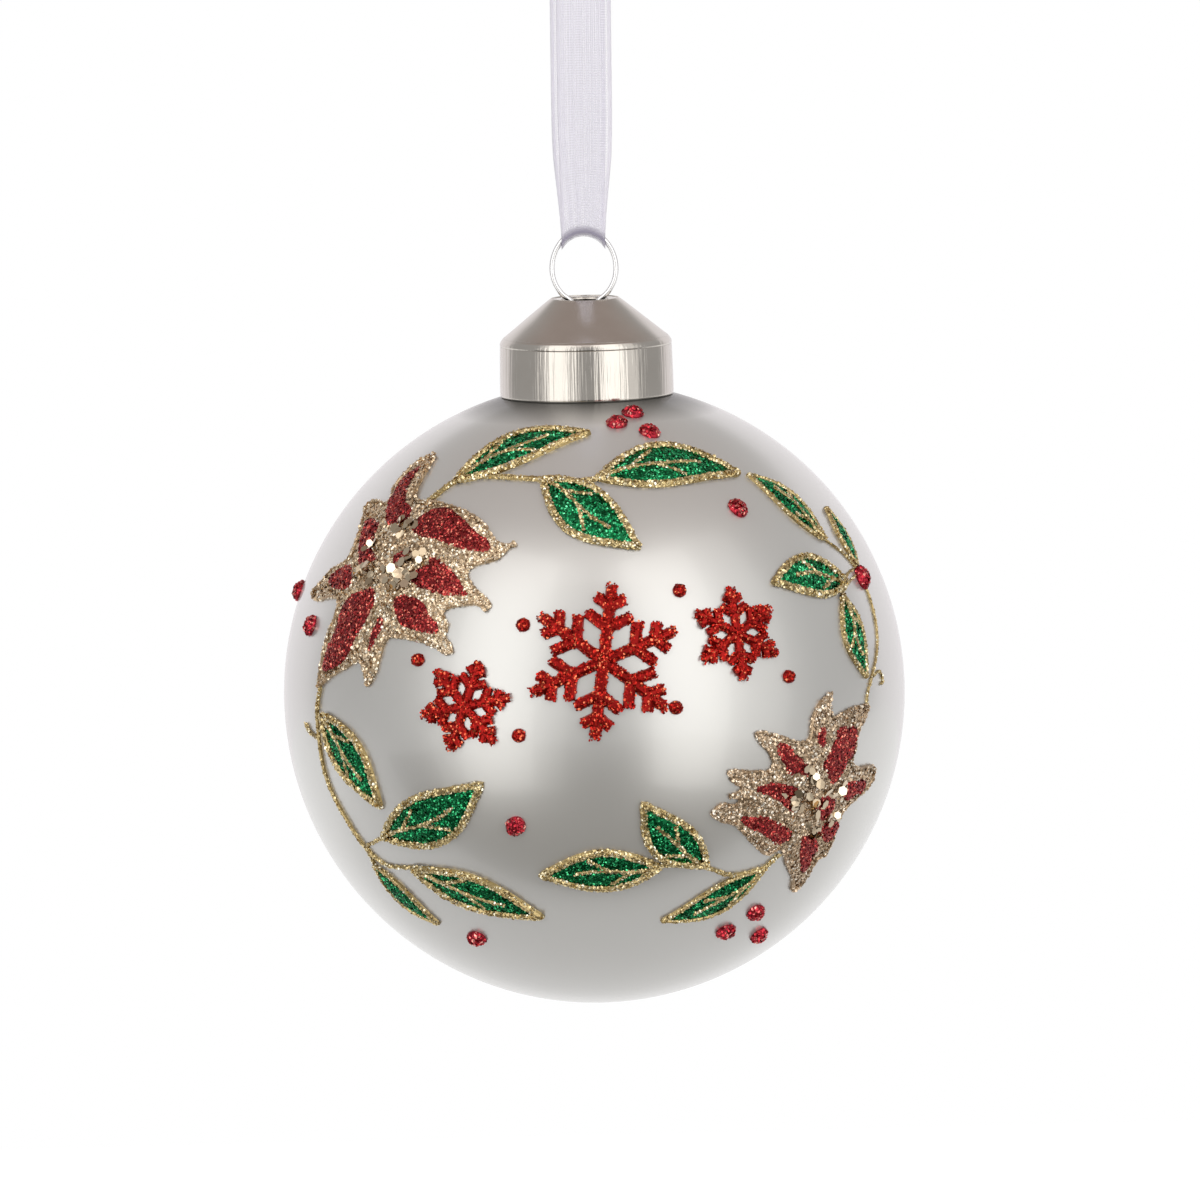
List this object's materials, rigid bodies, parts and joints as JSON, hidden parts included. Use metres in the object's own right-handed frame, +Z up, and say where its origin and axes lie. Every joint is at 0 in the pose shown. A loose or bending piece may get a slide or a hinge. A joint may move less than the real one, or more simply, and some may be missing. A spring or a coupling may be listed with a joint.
{
  "type": "glass ball ornament",
  "caption": "Hanging glass ball ornament with a metal cap, sprung wire hanger, organza ribbon loop and raised glitter poinsettias, leaves and berries.",
  "frame": {"origin": "the hanging point, inside the top of the ribbon loop just under its knot", "axes": "+Z up along the ball's axis, -Y out of the decorated front, +X to the viewer's right"},
  "size_m": [0.0798, 0.0798, 0.1674],
  "materials": {
    "pearl_glass": "satin pearl silver lacquer under a clear coat, opaque",
    "nickel_cap": "polished nickel plate",
    "bright_wire": "bright spring wire",
    "organza": "sheer woven organza",
    "gold_glitter": "fine champagne gold glitter set in clear glue",
    "gold_flakes": "mirror-bright hexagonal gold flakes",
    "red_glitter": "fine red glitter set in clear glue",
    "green_glitter": "fine green glitter set in clear glue"
  },
  "bodies": {
    "ribbon": {"ribbon_loop": "organza", "ribbon_knot": "organza"},
    "hanger": {"hanger_loop": "bright_wire"},
    "left_leg": {"spring_leg_left": "bright_wire"},
    "right_leg": {"spring_leg_right": "bright_wire"},
    "cap": {"cap": "nickel_cap"},
    "ball": {"glass_ball": "pearl_glass", "poinsettia_upper": "gold_glitter", "poinsettia_lower": "gold_glitter", "red_bract_upper_1": "red_glitter", "red_bract_upper_2": "red_glitter", "red_bract_upper_3": "red_glitter", "red_bract_upper_4": "red_glitter", "red_bract_upper_5": "red_glitter", "red_bract_upper_6": "red_glitter", "red_bract_upper_7": "red_glitter", "red_bract_upper_8": "red_glitter", "red_bract_lower_1": "red_glitter", "red_bract_lower_2": "red_glitter", "red_bract_lower_3": "red_glitter", "red_bract_lower_4": "red_glitter", "red_bract_lower_5": "red_glitter", "red_bract_lower_6": "red_glitter", "red_bract_lower_7": "red_glitter", "red_bract_lower_8": "red_glitter", "flake_heart_upper": "gold_flakes", "flake_heart_lower": "gold_flakes", "leaf_01": "green_glitter", "leaf_02": "green_glitter", "leaf_03": "green_glitter", "leaf_04": "green_glitter", "leaf_05": "green_glitter", "leaf_06": "green_glitter", "leaf_07": "green_glitter", "leaf_08": "green_glitter", "leaf_09": "green_glitter", "leaf_10": "green_glitter", "leaf_11": "green_glitter", "leaf_12": "green_glitter", "leaf_13": "green_glitter", "leaf_14": "green_glitter", "stem_upper": "gold_glitter", "stem_right": "gold_glitter", "stem_left": "gold_glitter", "stem_lower": "gold_glitter", "berry_01": "red_glitter", "berry_02": "red_glitter", "berry_03": "red_glitter", "berry_04": "red_glitter", "berry_05": "red_glitter", "berry_06": "red_glitter", "berry_07": "red_glitter", "berry_08": "red_glitter", "berry_09": "red_glitter", "berry_10": "red_glitter", "berry_11": "red_glitter", "berry_12": "red_glitter"}
  },
  "joints": [
    {"name": "ribbon_swing", "type": "hinge", "parent": "ribbon", "child": "hanger", "pos_m": [0, 0, -0.05], "axis": [1, 0, 0], "range_deg": [-90, 90], "deforming": ["ribbon_loop"]},
    {"name": "cap_turn", "type": "hinge", "parent": "hanger", "child": "cap", "pos_m": [0, 0, -0.0587], "axis": [0, 0, 1], "continuous": true},
    {"name": "cap_pull", "type": "slide", "parent": "cap", "child": "ball", "axis": [0, 0, -1], "range_m": [0, 0.02]},
    {"name": "left_leg_spring", "type": "hinge", "parent": "hanger", "child": "left_leg", "pos_m": [-0.00158, 0, -0.0601], "axis": [0, -1, 0], "range_deg": [0, 31.5]},
    {"name": "right_leg_spring", "type": "hinge", "parent": "hanger", "child": "right_leg", "pos_m": [0.00158, 0, -0.0601], "axis": [0, 1, 0], "range_deg": [0, 31.5]}
  ],
  "couplings": [
    {"joint": "left_leg_spring", "follows": "cap_pull", "rad_per_m": 27.05},
    {"joint": "right_leg_spring", "follows": "cap_pull", "rad_per_m": 27.05}
  ]
}
